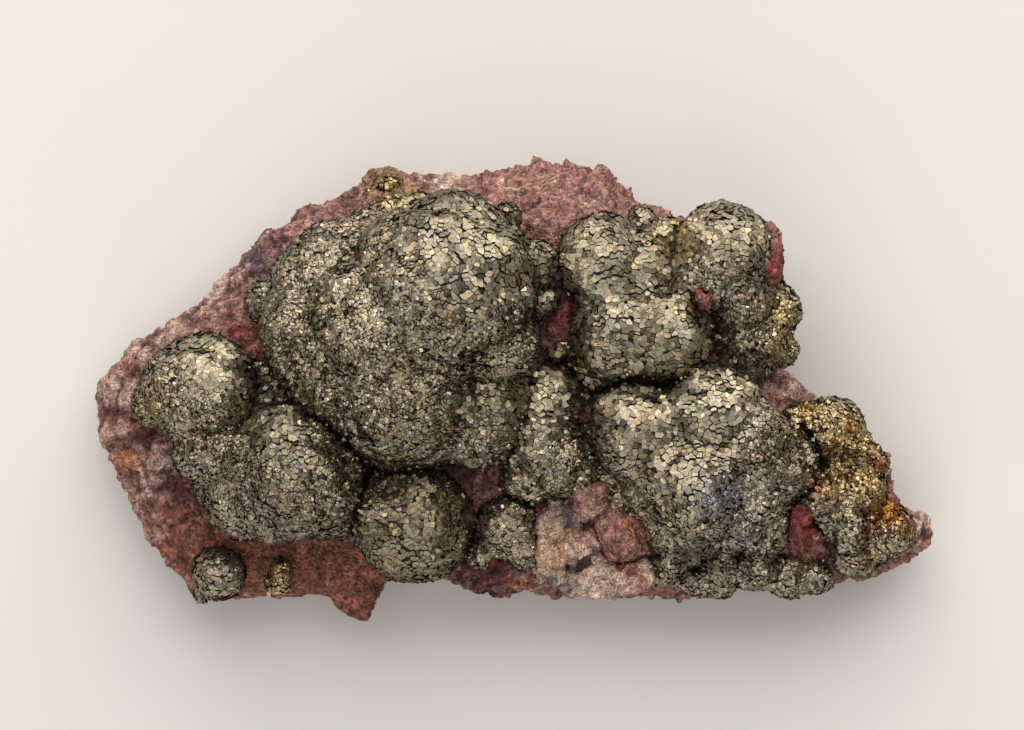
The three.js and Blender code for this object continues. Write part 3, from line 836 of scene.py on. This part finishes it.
plated("main_lump", "pyrite_main_cluster", 10)
plated("left_domes", "pyrite_left_cluster", 20)
plated("upper_right_domes", "pyrite_upper_right_cluster", 30)
plated("lower_right_domes", "pyrite_lower_right_cluster", 40)
plated("round_ball", "pyrite_round_ball", 50)
plated("middle_lumps", "pyrite_middle_cluster", 60)
plated("small_ball", "pyrite_small_ball", 70)
plated("small_twin", "pyrite_small_twin", 80, slot="brassy_pyrite")
plated("top_patch", "pyrite_top_patch", 90, slot="brassy_pyrite")
plated("end_crystals", "pyrite_right_end_crystals", 100, slot="brassy_pyrite", proud=0.06,
       proud_edge=(0.2, 0.5))


# Rock and vein

DUSTY_ROSE = linear("#9a6f66")
BRICK = linear("#85503f")
MAROON = linear("#4c2123")
CRIMSON = linear("#8a3c3c")
PALE_PINK = linear("#b5877a")
WHITE_PINK = linear("#c9ad9c")
PURPLE_GREY = linear("#5f4c54")
ORANGE = linear("#b0714a")
GREY = linear("#5f5850")
BRASSY_ROCK = linear("#8f7847")
CREAM = linear("#cbae99")
APRICOT = linear("#bd9168")
BLOOD = linear("#761812")
DARK_SLIT = linear("#24130b")

# Colours of the rock, in the order in which they are laid: (x, y, reach, strength)
ROCK_ZONES = [
    (BRICK, [(-34, -17, 8, 1.3), (-24, -20, 7, 1.2), (-19, -26, 4, 1.1), (-39, -18, 4, 0.8),
             (-16, -19, 5, 0.9)]),
    (PALE_PINK, [(-46, 2, 5, 0.8), (-48.6, -5, 3.6, 0.8), (-40, 7.4, 4, 0.8), (-34.6, 12.4, 3, 0.7),
                 (-46, -12, 3, 0.7), (-43.6, -17.6, 1.8, 0.7), (-26, 19.6, 2.4, 0.5),
                 (32.8, 0.2, 2.6, 1.0), (9.3, -12.4, 3.0, 1.0), (8.6, -16.4, 1.8, 0.9),
                 (49, -17.2, 2.0, 1.1), (43.8, -8.8, 1.6, 0.7)]),
    (WHITE_PINK, [(48.8, -16.4, 1.5, 0.8), (31.8, 0.8, 1.2, 0.6), (-47.8, -0.4, 2.2, 0.8),
                  (-43.4, 5.8, 2.2, 0.9), (-38.6, 10.0, 2.0, 0.8), (-8.6, 25.6, 2.4, 1.2),
                  (-35.2, 12.6, 1.6, 0.8), (-42.6, -9.8, 3.0, 0.7), (-32.6, 15.6, 1.4, 0.7),
                  (1.6, 15.4, 2.2, 0.5)]),
    (MAROON, [(-3.0, -21.4, 3.6, 1.2), (-40.6, -11.6, 3.4, 1.1), (-34.4, 8.8, 1.3, 0.8),
              (-38.4, 6.6, 1.0, 0.7), (-44.0, -5.0, 2.4, 0.9), (-14, -12, 5, 1.0),
              (-43.6, 1.0, 1.8, 0.7), (-6, -18, 4, 0.7), (-28.4, 18.4, 2.4, 0.6), (2.6, 22.6, 2.0, 0.5),
              (8.6, 19.8, 1.6, 0.5), (-14.6, -23.2, 2.4, 0.6)]),
    (CRIMSON, [(5.8, 9.4, 2.6, 1.2), (31.4, 15.2, 2.6, 1.0), (22.5, 11.2, 2.2, 0.9),
               (-32.6, 6.0, 2.8, 0.9), (35.0, -15.6, 3.2, 1.0), (-27.6, 5.2, 2.2, 0.8),
               (-36.6, -10.6, 2.0, 0.6), (-4.0, -20.6, 3.0, 0.5)]),
    (PURPLE_GREY, [(-30.2, 15.4, 2.6, 1.1), (-18, 21.6, 2.4, 0.6)]),
    (CREAM, [(3.6, 24.4, 1.6, 0.5), (9.4, 22.8, 1.2, 0.4), (-0.6, 25.2, 1.6, 0.6)]),
    (ORANGE, [(44.6, -14.6, 2.4, 1.0), (-46.6, -8.6, 1.8, 0.8), (14.2, -16.4, 2.2, 0.8),
              (0.6, -23.6, 2.0, 0.5)]),
    (BRASSY_ROCK, [(-14.6, 24.8, 2.4, 0.9), (-31, -23.6, 2.0, 0.4), (26, -22.6, 5.0, 0.6),
                   (43.6, -19.8, 2.4, 0.8)]),
    (GREY, [(24, -24, 5.0, 0.9), (5, -24.4, 3.0, 0.6), (-5.2, -22.4, 0.9, 0.8)]),
]
# Where the rock is smoother, besides the brick-coloured zones
SMOOTH_TOP = [(4.0, 22.6, 5.0, 0.8)]
# Heights above the table between which the zones fade out, and below which the relief dies out
FADE_BOTTOM = 2.0
FADE_TOP = 8.0
FOOT_HEIGHT = 1.5


def rock_colour(points, base, zones, sharpness=2.2, fray=1.2):
    """The base colour drawn towards each zone's colour, with edges that noise and grains fray. The zones
    fade out down the flanks."""
    colour = np.tile(base, (len(points), 1))
    high = np.clip((points[:, 2] - FADE_BOTTOM) / (FADE_TOP - FADE_BOTTOM), 0, 1) ** 0.7
    frayed = points + np.stack([fray * layered_noise(points, 1.6, 40 + i) for i in range(3)], axis=1)
    for order, (tint, spots) in enumerate(zones):
        patchy = 0.35 * layered_noise(points, 1.1, 60 + order)
        patchy += 0.3 * cells(frayed, 0.9, 160 + order)[3][:, 0]
        share = np.clip((zone_weight(frayed, spots) * high + patchy - 0.35) * sharpness, 0, 1)[:, None]
        colour = colour + (tint - colour) * 0.9 * share
    speckle = 0.26 * noise(points, 0.5, 66) + 0.22 * cells(points, 0.8, 67)[3][:, 1]
    nearest_grain, _, _, chance = cells(points, 0.6, 68)
    pale = 0.3 * ((chance[:, 2] > 0.72) & (nearest_grain < 0.4))[:, None]
    return colour * (1 + speckle)[:, None] + (WHITE_PINK - colour) * pale


def matrix_rock():
    """The broken slab: flat breaks of millimetres, grains just under one, dips between them with
    painted shade, and rounded lumps where it is crusty, their crowns partly a pale crust and partly
    a painted highlight, their hollows partly maroon and partly painted shade. The sandy zone and the
    top are smoother."""
    mesh = SKINS["rock_matrix"]
    points = points_of(mesh)
    brick, pale_pink, white_pink = (spots for _, spots in ROCK_ZONES[:3])
    sandy = np.clip(zone_weight(points, brick) + zone_weight(points, SMOOTH_TOP), 0, 1)
    crusty = np.clip(zone_weight(points, pale_pink) + zone_weight(points, white_pink), 0, 1)
    breaks = 0.9 * facets(points, 3.2, 70) + 0.6 * facets(points, 1.5, 75)
    breaks += 0.3 * layered_noise(points, 5.0, 78)
    grain = bulges(points, 0.85, 80)
    lump = bulges(points, 2.3, 82)
    lumps = 1.5 * lump + 0.5 * bulges(points, 1.2, 83)
    relief = 0.2 + (1 - 0.75 * sandy) * ((1 - 0.5 * crusty) * breaks + 0.4 * grain) + crusty * lumps
    foot = np.clip(points[:, 2] / FOOT_HEIGHT, 0, 1)
    mesh = moved(mesh, relief * foot)
    placed = points_of(mesh)
    placed[:, 2] = np.maximum(placed[:, 2], 0.0)
    colour = rock_colour(points, DUSTY_ROSE, ROCK_ZONES)
    # Crusty lumps turn maroon in their hollows: partly their own colour, partly painted shade
    maroon_and_shade_in_hollows = np.clip(0.6 - 4.5 * lump + 0.4 * noise(points, 0.9, 84), 0, 0.7) * crusty
    colour = colour + (MAROON - colour) * maroon_and_shade_in_hollows[:, None]
    # Crusty lumps turn pale on their crowns: partly a pale crust, partly a painted highlight
    pale_crust_and_highlight = np.clip(5 * lump - 0.9, 0, 0.6) * crusty
    colour = colour + (WHITE_PINK - colour) * pale_crust_and_highlight[:, None]
    # Painted shade in the dips between grains, and painted light on the grains' crowns
    painted_pit_and_grain_shading = np.clip(0.75 + 1.1 * grain, 0.4, 1.35)[:, None]
    piece = write_mesh("pink_rock", placed, [quads_of(mesh)], np.ones(len(mesh.polygons), bool),
                       {"rock_colour": colour * painted_pit_and_grain_shading})
    dress(piece, ROCK, "rock", "rock_matrix")


# Colours of the vein, laid in the same way
VEIN_ZONES = [
    (APRICOT, [(5.0, -17.0, 1.6, 0.7), (4.8, -20.0, 1.8, 0.7)]),
    (PALE_PINK, [(9.0, -16.6, 1.6, 1.0), (6.6, -20.4, 1.6, 0.7), (15.2, -22.8, 1.6, 1.0),
                 (9.6, -12.8, 2.6, 1.0)]),
    (WHITE_PINK, [(3.9, -15.4, 1.4, 1.0), (13.2, -19.8, 1.2, 1.1), (15.4, -20.4, 1.2, 1.0),
                  (10.6, -22.4, 2.4, 0.8)]),
    (GREY, [(6.6, -14.9, 1.5, 1.1), (9.6, -19.5, 1.0, 0.9), (4.2, -22.6, 1.6, 0.8),
            (6.6, -23.0, 1.4, 0.6)]),
    (BLOOD, [(11.0, -18.7, 0.7, 2.4), (11.8, -19.6, 0.75, 2.6), (12.6, -20.5, 0.7, 2.4),
             (14.2, -21.6, 0.5, 2.2)]),
    (DARK_SLIT, [(7.0, -21.4, 0.4, 2.0), (7.7, -21.0, 0.46, 2.4), (8.5, -20.7, 0.46, 2.4),
                 (9.3, -20.5, 0.42, 2.0)]),
]


def pale_vein():
    """Cream and pink vein mineral, broken in flat steps, with red streaks and a dark slit sunk in it."""
    mesh = SKINS["pale_vein"]
    points = points_of(mesh)
    _, slit = VEIN_ZONES[-1]
    relief = 0.1 + facets(points, 2.6, 90) + 0.55 * facets(points, 1.1, 92)
    relief += 0.12 * layered_noise(points, 0.8, 95)
    relief -= 0.7 * np.clip(zone_weight(points, slit), 0, 1)
    mesh = moved(mesh, relief)
    colour = rock_colour(points, CREAM, VEIN_ZONES, 3.0, 0.4)
    piece = write_mesh("pale_vein_mineral", points_of(mesh), [quads_of(mesh)],
                       np.ones(len(mesh.polygons), bool), {"rock_colour": colour})
    dress(piece, VEIN, "vein", "pale_vein")


matrix_rock()
pale_vein()


# Floor and light

# The spot that the lights point at, in metres
AIM = np.array([0, 0, 0.015])


def area_light(name, energy, size, place, colour):
    """A soft square light that points at the specimen."""
    data = bpy.data.lights.new(name, "AREA")
    data.energy = energy
    data.size = size
    data.color = colour
    light = bpy.data.objects.new(name, data)
    light.location = place
    toward = AIM - np.array(place)
    distance = np.linalg.norm(toward)
    turn = math.atan2(toward[1], toward[0]) - math.pi / 2
    light.rotation_euler = (math.acos(-toward[2] / distance), 0, turn)
    bpy.context.scene.collection.objects.link(light)


def make_floor():
    """A plain pale table top, a fifth of a millimetre under the specimen."""
    material, shader = new_material("pale_table")
    shader.inputs["Base Color"].default_value = rgba(linear("#dedbd7"))
    shader.inputs["Roughness"].default_value = 0.75
    mesh = bpy.data.meshes.new("floor")
    mesh.from_pydata([(-2, -2, 0), (2, -2, 0), (2, 2, 0), (-2, 2, 0)], [], [(0, 1, 2, 3)])
    mesh.materials.append(material)
    floor = bpy.data.objects.new("floor", mesh)
    floor.location.z = -0.2 * MM
    bpy.context.scene.collection.objects.link(floor)


def make_world():
    """A dim, even grey all round."""
    world = bpy.data.worlds.new("studio")
    world.use_nodes = True
    world.node_tree.nodes["Background"].inputs["Color"].default_value = (0.8, 0.8, 0.82, 1.0)
    world.node_tree.nodes["Background"].inputs["Strength"].default_value = 0.15
    bpy.context.scene.world = world


make_floor()
make_world()
area_light("overhead_softbox", 9.4, 1.1, (0.05, 0.55, 0.475), (1.0, 0.97, 0.91))
area_light("front_fill", 2.6, 1.0, (-0.15, -0.05, 0.9), (1.0, 0.98, 0.95))
area_light("low_fill", 3.0, 1.0, (-0.15, -0.65, 0.4), (1.0, 0.98, 0.96))
bpy.context.scene.view_settings.view_transform = "Standard"
